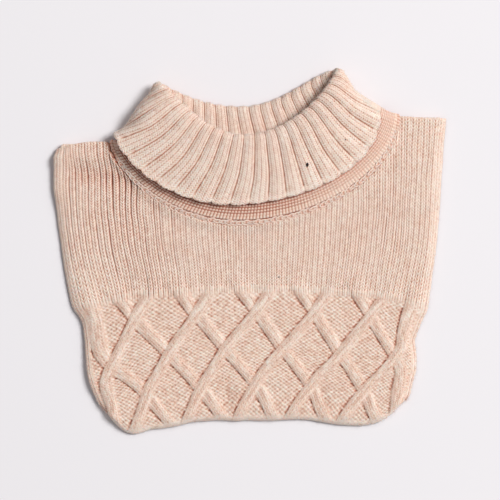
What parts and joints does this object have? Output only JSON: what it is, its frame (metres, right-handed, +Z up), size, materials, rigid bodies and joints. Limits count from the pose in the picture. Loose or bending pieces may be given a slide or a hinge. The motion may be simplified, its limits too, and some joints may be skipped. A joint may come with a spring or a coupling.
{
  "type": "neck warmer",
  "caption": "Knitted neck warmer lying flat, with a cable lattice front, ribbed yoke and a ribbed collar folded over outwards.",
  "frame": {"origin": "under the middle of the outline, on the surface that the neck warmer lies on", "axes": "+X to the right across the shoulders, +Y from the hem to the neck, +Z up out of the front panel"},
  "size_m": [0.3536, 0.3288, 0.0284],
  "materials": {
    "front_knit": "pale pink wool knit, matt, with rib and cables",
    "back_knit": "pale pink wool knit, matt, plain rib",
    "collar_knit": "pale pink wool knit, matt, wide rib",
    "seam_yarn": "pale pink wool yarn, linked chain stitches"
  },
  "bodies": {
    "root": {"back_panel": "back_knit", "front_panel": "front_knit", "shoulder_seam_left": "seam_yarn", "shoulder_seam_right": "seam_yarn", "neck_seam": "seam_yarn", "neckband": "collar_knit", "collar": "collar_knit"}
  },
  "joints": []
}
